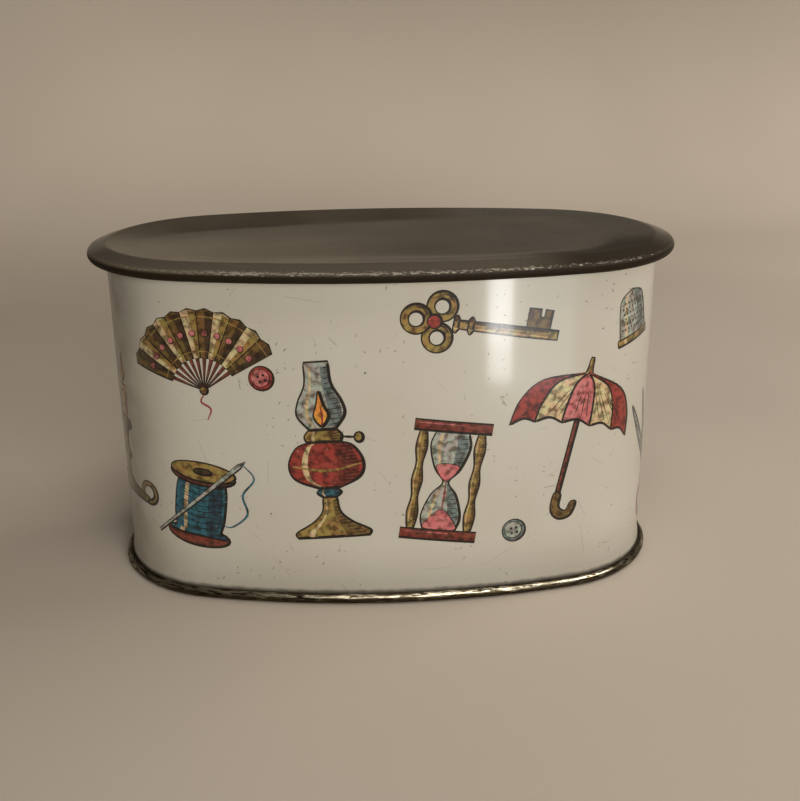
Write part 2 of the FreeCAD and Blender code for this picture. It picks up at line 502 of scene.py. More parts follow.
def spool():
    art = Sketch()
    needle = [(-14.5, -13), (-13.7, -13.5), (11.6, 14.6), (13, 17.4), (10.6, 15.8)]
    winding = [(9.6, -10.4), (9, -8.8), (7.4, -8.6), (8.1, -4), (8.1, 4), (7.4, 8.6)]
    art.area(ellipse(0, -10.6, 10.4, 3.4), "mahogany")
    art.turned(winding, "teal", "navy", hatch=1.3)
    for level in np.arange(-7, 8, 1.9):
        art.line([(-7.7, level + 0.7), (0, level - 0.9), (7.7, level + 0.7)], 0.3)
    art.area(ellipse(0, 10, 10.4, 3.4), "mahogany")
    art.area(ellipse(0, 11, 10.4, 3.2), "gold")
    art.area(ellipse(0, 11.2, 3, 1, 14), "umber")
    art.area(np.array(needle), "silver", 0.36)
    art.line([(11.4, 15.6), (12.2, 16.6)], 0.4)
    art.line([(11.9, 16.2), (16, 12), (13, 6), (15, 0), (11, -5), (8, -5.6)], 0.75, "teal")
    return art


def parasol():
    art = Sketch()
    rim = [(-20.5, 1.5), (-13, 3.6), (-4.6, 4.4), (4.6, 4.4), (13, 3.6), (20.5, 1.5)]
    apex = np.array((0, 20.5))
    crook = [(-1.1, -18), (1.1, -18), (1.6, -22), (4, -23), (5, -20)]
    crook += [(6.8, -20), (6, -24.4), (2.4, -26), (-0.8, -23.6)]
    art.area(oblong(-0.7, -19, 0.7, 6), "mahogany")
    art.area(spline(crook, True), "bronze")
    art.turned([(1.5, 19.5), (0.8, 21.5), (0.5, 25)], "gold", "bronze")
    for k, ink in enumerate(("brick", "cream", "pink", "cream", "brick")):
        start, end = np.array(rim[k]), np.array(rim[k + 1])
        down = spline([apex, (0.66 * start[0], 16.5), (0.93 * start[0], 9.5), start])
        up = spline([end, (0.93 * end[0], 9.5), (0.66 * end[0], 16.5), apex])
        scallop = spline([start, (start + end) / 2 + (0, 1.5), end])
        art.area(np.vstack([down, scallop[1:-1], up]), ink)
        for share in (0.35, 0.6, 0.8):
            foot = start + share * (end - start) + (0, 2.2)
            art.line([foot, 0.45 * foot + 0.55 * apex + (0, 1.2)], 0.26)
    return art


def fan():
    art = Sketch()
    pivot = np.array((0, -14))
    bounds = np.radians(np.linspace(158, 22, 12))

    def reach(angle, radius):
        return pivot + radius * np.array((math.cos(angle), math.sin(angle)))

    for k, (start, end) in enumerate(zip(bounds, bounds[1:])):
        middle = (start + end) / 2
        corners = ((-0.05, 1), (0.05, 1), (0.05, 13), (-0.05, 13))
        stick = [reach(middle + turn, radius) for turn, radius in corners]
        art.area(np.array(stick), "mahogany", 0.3)
        leaf = [reach(start, 12), reach(end, 12), reach(end, 29), reach(middle, 29.8), reach(start, 29)]
        art.area(np.array(leaf), ("bronze", "cream")[k % 2])
        fold = [reach(middle, 12.6), reach(end, 12.6), reach(end, 28.4), reach(middle, 29)]
        art.fill(np.array(fold), ("umber", "gold")[k % 2])
        art.area(ellipse(*reach(middle, 21), 1.2, 1.2, 10), "pink", 0.3)
    for radius in (14.5, 27):
        art.line([reach(angle, radius) for angle in bounds], 0.5, "gold")
    art.line([(0, -15), (-2, -18), (1, -21), (-1, -25)], 0.8, "brick")
    art.area(ellipse(0, -14, 1.5, 1.5, 12), "gold")
    return art


def candlestick():
    art = Sketch()
    stem = [(2.6, -15.6), (1.6, -11), (3.6, -8.6), (1.7, -6), (2, -1), (4.8, 1.4), (4.2, 3.4)]
    art.ring(13.6, -17.4, 4, 3.8, 0.6, "gold")
    art.turned([(12.5, -21), (13.4, -19), (6, -17.4), (2.6, -15.6)], "gold", "bronze", hatch=0.7)
    art.turned(stem, "gold", "umber")
    art.turned([(2.4, 3.4), (2.3, 9), (2.3, 14)], "cream", "pink", hatch=2.2)
    art.area(spline([(1.2, 14.2), (2.5, 13), (2.7, 10), (2.2, 8.6), (1.6, 11)], True), "cream", 0.3)
    art.line([(0, 14), (0.2, 15.6)], 0.6)
    flame(art, 15)
    return art


def thimble():
    art = Sketch()
    art.turned([(7.8, -8), (7.2, -5.6), (6.4, 2), (5, 6.6), (0.4, 8.6)], "silver", "slate", hatch=2.4)
    art.turned([(8.2, -8.6), (8.2, -6.4)], "gold", "bronze", hatch=0.8)
    for row, level in enumerate(np.arange(-3.6, 6, 1.7)):
        reach = np.interp(level, (-8, 2, 6.6), (7.6, 6.4, 5))
        for x in np.arange(-reach + 1.2 + 0.7 * (row % 2), reach - 0.8, 1.5):
            art.fill(ellipse(x, level, 0.36, 0.42, 8), "black")
    return art


def button(ink, shade):
    art = Sketch()
    art.area(ellipse(0, 0, 5, 5), shade)
    art.area(ellipse(-0.3, 0.3, 3.7, 3.7), ink, 0.3)
    for x, y in ((-1.1, 1.1), (1.1, 1.1), (-1.1, -1.1), (1.1, -1.1)):
        art.fill(ellipse(x, y, 0.6, 0.6, 10), "black")
    return art


# Print on half of the wall: drawing, distance to the right of its middle, height, tilt and scale.
# It comes twice round the wall.
LAYOUT = [
    (candlestick(), -76, 42, -4, 0.86),
    (fan(), -47, 67, 8, 0.7),
    (spool(), -49, 26, -8, 0.84),
    (lamp(), -16, 42, 4, 1.02),
    (button("pink", "brick"), -31, 61, 20, 0.62),
    (key(), 23, 73, 80, 0.8),
    (hourglass(), 14, 33, -8, 0.9),
    (button("silver", "slate"), 32, 18, 10, 0.62),
    (parasol(), 47, 42, -13, 0.86),
    (thimble(), 65, 72, 10, 0.8),
    (scissors(), 79, 30, 24, 0.74),
]


def followed(outline):
    """Outline with points added along it, close enough to follow the bend of the wall."""
    ends = np.roll(outline, -1, 0)
    counts = np.ceil(np.abs(ends - outline)[:, 0] / STATION_STEP).astype(int)
    spans = zip(outline, ends, np.maximum(counts, 1))
    return np.vstack([a + (b - a) * np.arange(count)[:, None] / count for a, b, count in spans])


def printed_shapes():
    """Outlines of the whole print as (s, z), each with its ink, the last one on top."""
    shapes = []
    for middle in (0, half_round):
        for art, s, z, tilt, scale in LAYOUT:
            angle = math.radians(tilt)
            across = scale * np.array([math.cos(angle), math.sin(angle)])
            up = scale * np.array([-math.sin(angle), math.cos(angle)])
            turned_over = 2 * half_round if s + middle > half_round else 0
            for outline, ink in art.shapes:
                laid = outline[:, :1] * across + outline[:, 1:] * up
                shapes.append((followed(laid + (s + middle - turned_over, z)), ink))
    return shapes


# Sockets of a Mix node, which has one pair for numbers and one for colours
NUMBER_A, NUMBER_B, NUMBER_OUT = 2, 3, 0
COLOUR_A, COLOUR_B, COLOUR_OUT = 6, 7, 2


class Paint:
    """Material whose node tree is built in short calls.  Patterns are sized in millimetres."""

    def __init__(self, name, **sockets):
        self.material = bpy.data.materials.new(name)
        self.material.use_nodes = True
        self.tree = self.material.node_tree
        self.shader = self.tree.nodes["Principled BSDF"]
        self.unrolled = self.attribute("unrolled").outputs["Vector"]
        self.place = self.scaled(self.node("TexCoord").outputs["Object"], (1 / MM,) * 3)
        for socket, value in sockets.items():
            self.shader.inputs[socket.replace("_", " ")].default_value = value

    def node(self, kind, inputs=None, **settings):
        made = self.tree.nodes.new("ShaderNode" + kind)
        for name, value in settings.items():
            setattr(made, name, value)
        for socket, value in (inputs or {}).items():
            if isinstance(value, bpy.types.NodeSocket):
                self.tree.links.new(value, made.inputs[socket])
            else:
                made.inputs[socket].default_value = value
        return made

    def link(self, socket, value):
        self.tree.links.new(value, self.shader.inputs[socket])

    def attribute(self, name):
        return self.node("Attribute", attribute_name=name)

    def scaled(self, vector, scale):
        return self.node("Mapping", {"Vector": vector, "Scale": scale}).outputs["Vector"]

    def noise(self, vector, size, detail=2.0):
        """Cloudy pattern from 0 to 1 whose features are about size long."""
        inputs = {"Vector": vector, "Scale": 1 / size, "Detail": detail}
        return self.node("TexNoise", inputs).outputs["Fac"]

    def parts(self, vector):
        """The three parts of a vector."""
        return self.node("SeparateXYZ", {"Vector": vector}).outputs

    def math(self, operation, a, b):
        return self.node("Math", {0: a, 1: b}, operation=operation).outputs[0]

    def both(self, a, b):
        """Share where two shares meet."""
        return self.math("MULTIPLY", a, b)

    def span(self, value, low, high):
        """0 where value is at low, 1 where it is at high, smooth in between."""
        inputs = {"Value": value, "From Min": low, "From Max": high}
        return self.node("MapRange", inputs, interpolation_type="SMOOTHSTEP").outputs["Result"]

    def mix(self, share, a, b):
        inputs = {"Factor": share, COLOUR_A: a, COLOUR_B: b}
        return self.node("Mix", inputs, data_type="RGBA").outputs[COLOUR_OUT]

    def tinted(self, a, b):
        """Product of two colours."""
        inputs = {"Factor": 1.0, COLOUR_A: a, COLOUR_B: b}
        return self.node("Mix", inputs, data_type="RGBA", blend_type="MULTIPLY").outputs[COLOUR_OUT]

    def blend(self, share, a, b):
        return self.node("Mix", {"Factor": share, NUMBER_A: a, NUMBER_B: b}).outputs[NUMBER_OUT]

    def specks(self, vector, spacing, share, radius):
        """Round specks in some cells of a scattered pattern: 1 in a speck, 0 elsewhere."""
        cells = self.node("TexVoronoi", {"Vector": vector, "Scale": 1 / spacing})
        chance = self.node("SeparateColor", {"Color": cells.outputs["Color"]})
        chosen = self.math("GREATER_THAN", chance.outputs[0], 1 - share)
        limit = self.math("MULTIPLY", chance.outputs[1], radius / spacing)
        near = self.math("LESS_THAN", cells.outputs["Distance"], limit)
        return self.both(chosen, near)

    def ticks(self, vector, spacing, share, length, width):
        """Short straight marks, each turned its own way: 1 on a mark, 0 elsewhere."""
        inputs = {"Vector": vector, "Scale": 1 / spacing}
        cells = self.node("TexVoronoi", inputs, voronoi_dimensions="2D")
        chance = self.node("SeparateColor", {"Color": cells.outputs["Color"]})
        offset = self.node("VectorMath", {0: vector, 1: cells.outputs["Position"]}, operation="SUBTRACT")
        angle = self.math("MULTIPLY", chance.outputs[2], math.pi)
        inputs = {"Vector": offset.outputs["Vector"], "Angle": angle}
        turned = self.node("VectorRotate", inputs, rotation_type="Z_AXIS")
        x, y, _ = self.parts(turned.outputs["Vector"])
        reach = self.math("MULTIPLY", chance.outputs[1], length / 2)
        along = self.math("LESS_THAN", self.math("ABSOLUTE", x, 0.0), reach)
        across = self.math("LESS_THAN", self.math("ABSOLUTE", y, 0.0), width / 2)
        chosen = self.math("GREATER_THAN", chance.outputs[0], 1 - share)
        return self.both(chosen, self.both(along, across))

    def bump(self, height, depth, under=None):
        inputs = {"Height": height, "Distance": depth * MM, "Strength": 1.0}
        if under:
            inputs["Normal"] = under
        return self.node("Bump", inputs).outputs["Normal"]


# Enamel: its ground, the tints within the inks, the scuffs, and the grime and painted shade on it
GROUND = colour(179, 173, 160)
AGED_GROUND = colour(174, 167, 151)
WARM_INK = (1.0, 0.82, 0.76, 1.0)
GREEN_INK = (0.95, 1.0, 0.84, 1.0)
DEEP_INK = (0.3, 0.26, 0.23, 1.0)
SCUFF = colour(76, 66, 51)
# Darkening tones: grime that is partly painted shade, and painted shade in the crevice
GRIME_AND_SHADE = colour(112, 104, 90)
CREVICE_SHADE = colour(44, 36, 26)

# Where grime and painted shade darken it: stretches of the wall to the right of its middle, and heights,
# each from clear to full
SMUDGE_AND_SHADE_RIGHT = (-56, -76)
SMUDGE_AND_SHADE_LEFT = (-120, -98)
FOOT_SHADE = (18, 4)
LOW_SHADE = (8, 5.5)
CREVICE = (4.4, 3.2)

# Lacquer: tones on the flat, painted highlight at front left, painted dark reflection at front right,
# painted light on the shoulder, painted shade under the rim, and rubbed off
LACQUER = colour(70, 62, 50)
CLOUDY_LACQUER = colour(82, 73, 60)
LACQUER_HIGHLIGHT = colour(98, 88, 72)
PAINTED_DARK_REFLECTION = colour(50, 43, 33)
SHOULDER_LIGHT = colour(86, 77, 66)
UNDER_RIM_SHADE = colour(35, 28, 19)
RUBBED_LACQUER = colour(136, 128, 114)

# Where those tones lie, each from clear to full: along X and Y, round the oval, out from the wall or up
HIGHLIGHT_X = (15, -45)
HIGHLIGHT_Y = (14, -16)
DARK_REFLECTION_LEFT = (26, 48)
DARK_REFLECTION_RIGHT = (94, 68)
DARK_REFLECTION_OUT = (-15.4, -8)
RIM_OUT = (-0.9, -0.1)
SHOULDER_UP = (87.9, 88.7)
UNDER_DOWN = (88.1, 87.2)


def enamel():
    """Ivory enamel with the print's inks under a clear varnish, scuffed, with grime and painted shade at
    its left end, and painted shade towards the foot and in the crevice above the seam.
    """
    paint = Paint("enamel", Coat_Weight=0.65, Coat_Roughness=0.1, Specular_IOR_Level=0.25)
    flat = paint.unrolled
    s, z, _ = paint.parts(flat)
    ink = paint.attribute("ink")
    aged = paint.span(paint.noise(flat, 30, 2.0), 0.2, 0.8)
    ground = paint.mix(aged, GROUND, AGED_GROUND)
    tone = paint.span(paint.noise(flat, 1.7, 3.5), 0.34, 0.6)
    hue = paint.span(paint.noise(flat, 2.6, 2.0), 0.4, 0.6)
    light = paint.tinted(ink.outputs["Color"], paint.mix(hue, WARM_INK, GREEN_INK))
    inked = paint.mix(tone, paint.tinted(light, DEEP_INK), light)
    worn = paint.span(paint.noise(flat, 0.8, 3.0), 0.7, 0.74)
    kept = paint.math("SUBTRACT", ink.outputs["Alpha"], paint.both(worn, 0.6))
    base = paint.mix(paint.node("Clamp", {"Value": kept}).outputs[0], ground, inked)
    scuffed = paint.span(paint.noise(flat, 18, 3.0), 0.48, 0.6)
    long_lines = paint.ticks(flat, 6, 0.3, 3.4, 0.13)
    short_lines = paint.ticks(flat, 1.9, 0.25, 0.9, 0.22)
    lines = paint.both(paint.math("MAXIMUM", long_lines, short_lines), scuffed)
    hairs = paint.both(paint.ticks(flat, 14, 0.5, 11, 0.12), 0.4)
    dots = paint.specks(flat, 4.2, 0.4, 0.34)
    marks = paint.math("MAXIMUM", paint.math("MAXIMUM", lines, hairs), dots)
    base = paint.mix(paint.both(marks, 0.8), base, SCUFF)
    # Left end darker: partly grey grime smudges, partly painted shade
    left_end = paint.both(paint.span(s, *SMUDGE_AND_SHADE_RIGHT), paint.span(s, *SMUDGE_AND_SHADE_LEFT))
    smudge_and_shade = paint.both(left_end, paint.span(paint.noise(flat, 10, 3.0), 0.25, 0.65))
    base = paint.mix(paint.both(smudge_and_shade, 0.5), base, GRIME_AND_SHADE)
    # Painted shade: darker towards the foot, and a little more just above the flare
    height = paint.math("ADD", z, paint.both(paint.noise(flat, 3.0, 3.0), 0.8))
    base = paint.mix(paint.both(paint.span(height, *FOOT_SHADE), 0.3), base, GRIME_AND_SHADE)
    base = paint.mix(paint.both(paint.span(height, *LOW_SHADE), 0.14), base, GRIME_AND_SHADE)
    # Painted shade in the crevice where the wall meets the rolled seam
    base = paint.mix(paint.both(paint.span(height, *CREVICE), 0.85), base, CREVICE_SHADE)
    paint.link("Base Color", base)
    rough = paint.blend(paint.span(paint.noise(flat, 9, 4.0), 0.2, 0.8), 0.28, 0.36)
    paint.link("Roughness", paint.math("ADD", rough, paint.both(marks, 0.3)))
    waves = paint.bump(paint.noise(flat, 24, 1.0), 0.25)
    paint.link("Normal", paint.bump(marks, -0.02, waves))
    return paint.material


def lacquer():
    """Dark satin lacquer over tin, rubbed through to bright flecks along the rim, with a painted highlight
    at the front left, painted light on the shoulder, painted shade under the curl and a painted dark
    reflection at the front right.
    """
    paint = Paint("lacquer", Specular_IOR_Level=0.055)
    x, y, _ = paint.parts(paint.place)
    s, z, out = paint.parts(paint.unrolled)
    cloud = paint.span(paint.noise(paint.place, 22, 5.0), 0.3, 0.75)
    base = paint.mix(cloud, LACQUER, CLOUDY_LACQUER)
    # Painted highlight: paler lacquer at the front left of the dish
    front_left_highlight = paint.both(paint.span(x, *HIGHLIGHT_X), paint.span(y, *HIGHLIGHT_Y))
    base = paint.mix(front_left_highlight, base, LACQUER_HIGHLIGHT)
    # Painted dark reflection: darker, rougher lacquer in a wedge at the front right of the dish
    right = paint.both(paint.span(s, *DARK_REFLECTION_LEFT), paint.span(s, *DARK_REFLECTION_RIGHT))
    dark_reflection_mask = paint.both(right, paint.span(out, *DARK_REFLECTION_OUT))
    base = paint.mix(dark_reflection_mask, base, PAINTED_DARK_REFLECTION)
    rim = paint.span(out, *RIM_OUT)
    # Painted light: paler lacquer on the rim's shoulder, outside the dark wedge
    shoulder = paint.both(rim, paint.span(z, *SHOULDER_UP))
    shoulder = paint.both(shoulder, paint.math("SUBTRACT", 1.0, right))
    base = paint.mix(shoulder, base, SHOULDER_LIGHT)
    # Painted shade: darker, rougher lacquer under the rim's curl
    under = paint.both(rim, paint.span(z, *UNDER_DOWN))
    base = paint.mix(under, base, UNDER_RIM_SHADE)
    wear_and_highlight = paint.attribute("wear_and_highlight").outputs["Fac"]
    streaks = paint.noise(paint.scaled(paint.unrolled, (0.5, 1.8, 1.8)), 0.5, 6.0)
    patches = paint.noise(paint.scaled(paint.unrolled, (1, 0.3, 0.3)), 14, 3.0)
    rubbed = paint.math("ADD", streaks, paint.both(patches, 0.4))
    need = paint.blend(wear_and_highlight, 1.25, 0.66)
    bare = paint.span(paint.math("SUBTRACT", rubbed, need), 0.0, 0.05)
    lines = paint.ticks(paint.place, 16, 0.35, 9, 0.14)
    marks = paint.math("MAXIMUM", bare, paint.both(lines, 0.3))
    paint.link("Base Color", paint.mix(marks, base, RUBBED_LACQUER))
    paint.link("Metallic", paint.both(bare, 0.2))
    rough = paint.blend(dark_reflection_mask, paint.blend(cloud, 0.17, 0.24), 0.5)
    rough = paint.blend(under, rough, 0.46)
    paint.link("Roughness", paint.blend(bare, rough, 0.5))
    ripple = paint.bump(paint.noise(paint.place, 30, 1.0), 0.4)
    grain = paint.math("SUBTRACT", paint.noise(paint.place, 0.5, 2.0), bare)
    paint.link("Normal", paint.bump(grain, 0.006, ripple))
    return paint.material


# Tin: rubbed, tarnished and pitted at the rolled seam, with a painted highlight band and painted shade
# there, and stained inside
RUBBED_AND_LIT_BEAD = colour(184, 174, 150)
TARNISH_AND_SHADE = colour(74, 64, 48)
PITS = colour(48, 40, 29)
TIN_STAIN = colour(96, 78, 56)


def tarnished_tin():
    """Tin of the base seam, brown with tarnish and rubbed bright where it stands out; the bright band is
    partly a painted highlight and the dark around it partly painted shade.
    """
    paint = Paint("tarnished_tin", Metallic=1.0)
    wear_and_highlight = paint.attribute("wear_and_highlight").outputs["Fac"]
    stain = paint.noise(paint.scaled(paint.unrolled, (0.3, 1, 1)), 1.6, 5.0)
    # The rubbed band lies where the highlight falls: partly wear, partly a painted highlight, with the
    # tarnish around it partly painted shade
    dull = paint.span(paint.math("SUBTRACT", stain, paint.both(wear_and_highlight, 0.3)), 0.1, 0.44)
    grit = paint.noise(paint.scaled(paint.unrolled, (0.16, 1, 1)), 0.5, 3.0)
    tone = paint.mix(dull, RUBBED_AND_LIT_BEAD, TARNISH_AND_SHADE)
    paint.link("Base Color", paint.mix(paint.span(grit, 0.48, 0.4), tone, PITS))
    paint.link("Roughness", paint.blend(dull, 0.2, 0.42))
    paint.link("Normal", paint.bump(grit, 0.04))
    return paint.material


def bright_tin(name, clear, dull):
    """Bare tinplate with the faint grain of rolled sheet, cloudy with age."""
    paint = Paint(name, Metallic=1.0)
    grain = paint.noise(paint.scaled(paint.unrolled, (0.05, 1, 1)), 0.4, 3.0)
    cloud = paint.span(paint.noise(paint.place, 14, 5.0), 0.3, 0.75)
    spots = paint.specks(paint.place, 5, 0.2, 0.5)
    tone = paint.mix(paint.both(cloud, 0.8), clear, dull)
    paint.link("Base Color", paint.mix(paint.both(spots, 0.6), tone, TIN_STAIN))
    paint.link("Roughness", paint.blend(cloud, 0.32, 0.42))
    paint.link("Normal", paint.bump(grain, 0.01))
    return paint.material


# Places that two pieces share
wall_middle = -SHEET / 2
hem_pitch = SHEET + HEM_GAP
hem_low = mouth - HEM_DEPTH
bead_reach = base_high.x - half_length - BOX_MARGIN
bead_radius = (base_high.z - SHEET) / 2
foot_middle = SHEET / 2
crest_out = -(2 * SHEET + HEM_GAP) / 2
crest_z = lid_high.z - SHEET / 2 - BOX_MARGIN
collar_middle = -(2 * SHEET + HEM_GAP) - COLLAR_CLEARANCE - SHEET / 2


def wall_line():
    """Wall from the hem's free edge, over the mouth, down to the foot inside the base seam."""
    flare = math.degrees(math.atan2(FLARE_OUT, FLARE_TOP - FLARE_BOTTOM))
    bend_out = FLARE_BEND * (1 - math.cos(math.radians(flare)))
    slant = (FLARE_OUT - 2 * bend_out) / math.sin(math.radians(flare))
    line = SheetLine(wall_middle - hem_pitch, hem_low, 90)
    fold_low = mouth - SHEET / 2 - hem_pitch / 2
    line.run(fold_low - hem_low)
    line.turn(hem_pitch / 2, -180, steps=8)
    line.run(fold_low - FLARE_TOP)
    line.turn(FLARE_BEND, flare, steps=4)
    line.run(slant)
    line.turn(FLARE_BEND, -flare, steps=4)
    line.run(line.points[-1][1] - WALL_FOOT)
    return line


def base_line():
    """Base from the edge of its panel, down the countersink, along the foot and round the bead."""
    line = SheetLine(PANEL_GAP - PANEL_BEND, PANEL_HEIGHT + SHEET / 2, 0)
    line.turn(PANEL_BEND, -90, steps=5)
    line.run(PANEL_HEIGHT + SHEET / 2 - foot_middle - 2 * PANEL_BEND)
    line.turn(PANEL_BEND, 90, steps=5)
    line.run(bead_reach - SHEET / 2 - bead_radius - line.points[-1][0])
    line.turn(bead_radius, 180, steps=18)
    return line


def lid_line():
    """Cover from the edge of its flat middle, up the dish, over the shoulder and round the curl."""
    curl = CURL_RADIUS - SHEET / 2
    curl_out = lid_high.x - half_length - BOX_MARGIN - CURL_RADIUS
    curl_z = lid_low.z + BOX_MARGIN + CURL_RADIUS
    fall_out = curl_out - crest_out
    fall_z = crest_z - SHOULDER_RADIUS - curl_z
    fall = math.atan2(fall_z, fall_out)
    reach = math.hypot(fall_out, fall_z)
    tilt = math.asin((SHOULDER_RADIUS - curl) / reach)
    line = SheetLine(crest_out, crest_z, 0)
    line.turn(SHOULDER_RADIUS, -math.degrees(fall + tilt), steps=10)
    line.run(reach * math.cos(tilt))
    line.turn(curl, -CURL_TURN, steps=27)
    dish = SheetLine(crest_out, crest_z, 180)
    dish.turn(SHOULDER_RADIUS, DISH_SLOPE, steps=4)
    dish.run(DISH_RUN)
    dish.turn(DISH_BEND, -DISH_SLOPE, steps=8)
    line.led_by(dish)
    return line


def collar_line():
    """Collar from the inner edge of its flange, under the dish's slope, down to its lower edge."""
    slope = math.radians(DISH_SLOPE)
    cone_out = crest_out - SHOULDER_RADIUS * math.sin(slope)
    cone_z = crest_z - SHOULDER_RADIUS * (1 - math.cos(slope))
    start = collar_middle - COLLAR_FLANGE
    height = cone_z - (cone_out - start) * math.tan(slope) - (SHEET + SOLDER_GAP) / math.cos(slope)
    line = SheetLine(start, height, DISH_SLOPE)
    bend = math.radians(90 + DISH_SLOPE)
    line.run((COLLAR_FLANGE - COLLAR_BEND * (1 + math.sin(slope))) / math.cos(slope))
    line.turn(COLLAR_BEND, -math.degrees(bend), steps=6)
    line.run(line.points[-1][1] - collar_low.z)
    return line


PRINT_ROW_STEP = 2.5
JOIN_WITHIN = 1e-4


def inside(outline, points):
    """Which points lie inside a closed outline."""
    within = np.zeros(len(points), bool)
    x, y = points.T
    for (x1, y1), (x2, y2) in zip(outline, np.roll(outline, -1, 0)):
        if y1 != y2:
            crossing = (y1 > y) != (y2 > y)
            within ^= crossing & (x < (x2 - x1) * (y - y1) / (y2 - y1) + x1)
    return within


def inks_at(points, shapes):
    """Ink that shows at each unrolled point."""
    inks = np.full(len(points), "bare", object)
    for outline, ink in shapes:
        near = np.all((points > outline.min(0)) & (points < outline.max(0)), axis=1).nonzero()[0]
        inks[near[inside(outline, points[near])]] = ink
    return inks


def lay_print(shell, top_ring, low_ring, out, slot):
    """Outside of the wall between two rings, cut along the print's outlines, with the side seam's line."""
    top, low = (shell.vertices[ring[0]][2] for ring in (top_ring, low_ring))
    rows = np.linspace(top, low, round((top - low) / PRINT_ROW_STEP) + 1)
    points = [(s, row) for row in rows[[0, -1]] for s in STATIONS]
    points += [(s, row) for row in rows[1:-1] for s in STATIONS]
    count = len(STATIONS)
    edges = [(i, i + 1) for start in (0, count) for i in range(start, start + count - 1)]
    shapes = printed_shapes()
    for outline, _ in shapes:
        start = len(points)
        points += outline.tolist()
        edges += [(start + i, start + (i + 1) % len(outline)) for i in range(len(outline))]
    cut = delaunay_2d_cdt([Vector(p) for p in points], edges, [], 0, JOIN_WITHIN)
    flat = np.array([tuple(p) for p in cut[0]])
    known = top_ring + low_ring
    vertex_of = {}
    for i, sources in enumerate(cut[3]):
        found = [known[source] for source in sources if source < len(known)]
        s, z = flat[i]
        vertex_of[i] = found[0] if found else shell.add([on_wall(s, out, z)], [(s, out, z)])[0]
    v, _ = shell.advance(top_ring[count // 2], low_ring[count // 2])
    triangles = [tuple(face) for face in cut[2]]
    inks = inks_at(flat[triangles].mean(1), shapes)
    for corners, ink in zip(triangles, inks):
        places = [(map_u(flat[i][0]), v + top - flat[i][1]) for i in corners]
        shell.face(tuple(vertex_of[i] for i in corners), slot, places, ink)
    seam_line(shell, flat, vertex_of, out, slot, lambda z: v + top - z)


def seam_line(shell, flat, vertex_of, out, slot, map_v):
    """Groove of the side seam between the print's two upright edges."""
    sides = []
    for edge in (seam_edge, -seam_edge):
        column = np.flatnonzero(np.abs(flat[:, 0] - edge) < JOIN_WITHIN)
        sides.append(sorted(column, key=lambda i: flat[i][1]))
    heights = [flat[i][1] for i in sides[0]]
    floor = [(half_round, out - SEAM_LINE_DEPTH, z) for z in heights[1:-1]]
    floor = shell.add([on_wall(*place) for place in floor], floor)
    floor = [floor[0]] + floor + [floor[-1]]
    floor_u = (STATION_U[-2] + STATION_U[-1]) / 2
    for side, u in zip(sides, STATION_U[-2:]):
        side = [vertex_of[i] for i in side]
        for k in range(len(side) - 1):
            low, high = map_v(heights[k]), map_v(heights[k + 1])
            corners = [side[k], side[k + 1], floor[k + 1], floor[k]]
            places = [(u, low), (u, high), (floor_u, high), (floor_u, low)]
            if floor[k] == floor[k + 1]:
                corners.pop()
                places.pop()
            shell.face(tuple(corners), slot, places)
    for end in (0, -1):
        corners = (vertex_of[sides[0][end]], vertex_of[sides[1][end]], floor[end])
        places = [(STATION_U[-2], map_v(heights[end])), (STATION_U[-1], map_v(heights[end]))]
        shell.face(corners, slot, places + [(floor_u, map_v(heights[end]))])


def wall_shell(outside_slot, inside_slot):
    """Wall with its printed outside, hemmed mouth and bare inside."""
    shell = Shell()
    left, right = wall_line().faces()
    field = max(range(len(left) - 1), key=lambda i: left[i][1] - left[i + 1][1])
    left_rings = [shell.ring(*point) for point in left]
    right_rings = [shell.ring(*point) for point in reversed(right)]
    shell.sheet(left_rings[: field + 1], outside_slot)
    first_printed = len(shell.vertices)
    lay_print(shell, left_rings[field], left_rings[field + 1], left[field][0], outside_slot)
    normals = np.zeros((len(shell.vertices), 3))
    for i in [*left_rings[field], *left_rings[field + 1], *range(first_printed, len(shell.vertices))]:
        s, out, _ = shell.unrolled[i]
        if out == left[field][0]:
            normals[i, :2] = oval(s)[1]
    shell.sheet(left_rings[field + 1 :], outside_slot)
    shell.sheet(left_rings[-1:] + right_rings + left_rings[:1], inside_slot)
    return shell, normals


def seam_shell():
    """Layers of the side seam inside the wall: lapped at both ends, locked in the middle."""
    shell = Shell()
    low = FLARE_TOP + SEAM_END_GAP
    high = hem_low - SEAM_END_GAP
    lap = -SHEET * (1 + LAP_LAYERS)
    lock = -SHEET * (1 + LOCK_LAYERS)
    section = [(wall_middle, low), (lap, low), (lap, low + LAP_LENGTH), (lock, low + LAP_LENGTH)]
    section += [(out, low + high - z) for out, z in reversed(section)]
    ends = []
    for s in (SEAM_WIDTH / 2 - half_round, half_round - SEAM_WIDTH / 2):
        places = [(s, out, z) for out, z in section]
        ends.append(shell.add([on_wall(*place) for place in places], places))
    left, right = ends
    count = len(section)
    columns = count + len(ends)
    for i in range(count):
        j = (i + 1) % count
        u, next_u = i / columns, (i + 1) / columns
        shell.face((left[i], left[j], right[j], right[i]), 0, [(u, 0), (next_u, 0), (next_u, 1), (u, 1)])
    for column, end in enumerate(ends, count):
        across = [(out - lock) / (wall_middle - lock) for out, _ in section]
        up = [(z - low) / (high - low) for _, z in section]
        shell.face(tuple(end), 0, [((column + a) / columns, b) for a, b in zip(across, up)])
    shell.v = 1.0
    return shell


def twisted(shell):
    """Shell slightly twisted inside the lid's crest, as a used lid is: high at two opposite corners."""
    heights = []
    for (x, y, z), (_, out, _) in zip(shell.vertices, shell.unrolled):
        share = min(max((out - TWIST_FROM) / (TWIST_FULL - TWIST_FROM), 0), 1)
        heights.append((x, y, z + TWIST * x * y * share * share * (3 - 2 * share)))
    shell.vertices = heights
    return shell


